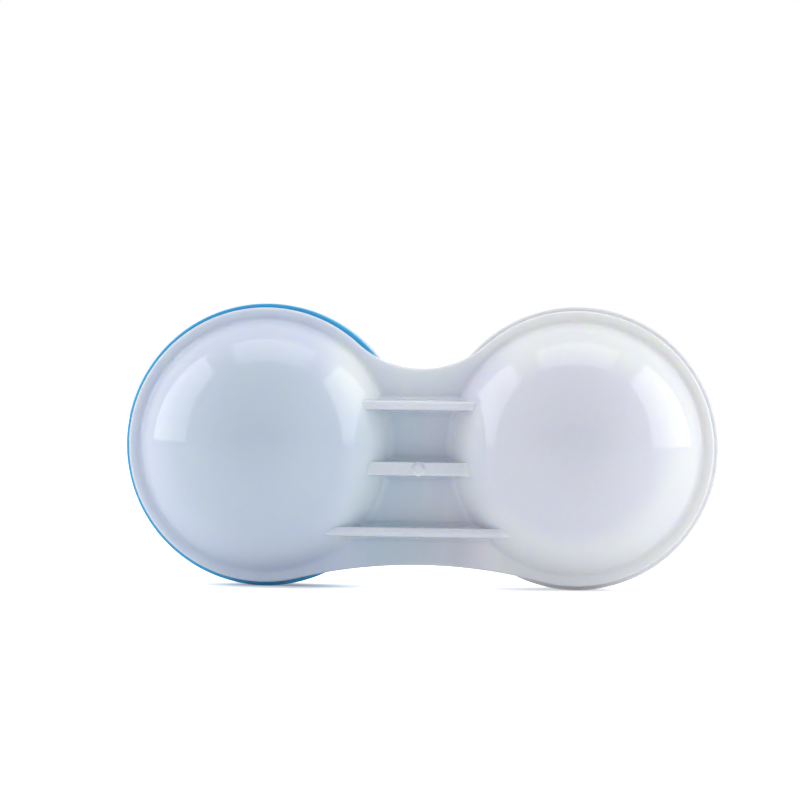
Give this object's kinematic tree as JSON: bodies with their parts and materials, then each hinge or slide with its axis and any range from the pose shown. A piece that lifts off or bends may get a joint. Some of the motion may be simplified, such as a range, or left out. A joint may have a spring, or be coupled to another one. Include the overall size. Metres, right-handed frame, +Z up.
{
  "type": "contact lens case",
  "caption": "Flat contact lens case: a milky moulded base whose domed wells are joined by a ribbed bridge, closed by a blue and a white screw cap with seals inside.",
  "frame": {"origin": "centre of the bounding box at floor level, as the case stands on the rims of its caps in the picture", "axes": "+X along the case from the blue cap to the white cap, +Y along the screw axes from the domed wells to the cap tops, +Z up as the case stands on its long edge, with the bridge's deep notch at the top"},
  "size_m": [0.0658, 0.0184, 0.0313],
  "materials": {
    "milky_base": "milky, slightly translucent moulded plastic with a soft gloss",
    "blue_cap": "solid blue moulded plastic",
    "white_cap": "solid white moulded plastic",
    "seal": "milky soft silicone"
  },
  "bodies": {
    "base": {"base": "milky_base"},
    "left_seal": {"left_cap_seal": "seal"},
    "left_cap": {"left_cap": "blue_cap"},
    "right_seal": {"right_cap_seal": "seal"},
    "right_cap": {"right_cap": "white_cap"}
  },
  "joints": [
    {"name": "left_cap_lift", "type": "slide", "parent": "base", "child": "left_seal", "axis": [0, 1, 0], "range_m": [0, 0.0078]},
    {"name": "left_cap_turn", "type": "hinge", "parent": "left_seal", "child": "left_cap", "pos_m": [-0.0172, 0.00675, 0.01565], "axis": [0, 1, 0], "range_deg": [0, 1080]},
    {"name": "right_cap_lift", "type": "slide", "parent": "base", "child": "right_seal", "axis": [0, 1, 0], "range_m": [0, 0.0078]},
    {"name": "right_cap_turn", "type": "hinge", "parent": "right_seal", "child": "right_cap", "pos_m": [0.0172, 0.00675, 0.01565], "axis": [0, 1, 0], "range_deg": [0, 1080]}
  ],
  "couplings": [
    {"joint": "left_cap_lift", "follows": "left_cap_turn", "m_per_rad": 0.0004138},
    {"joint": "right_cap_lift", "follows": "right_cap_turn", "m_per_rad": 0.0004138}
  ]
}
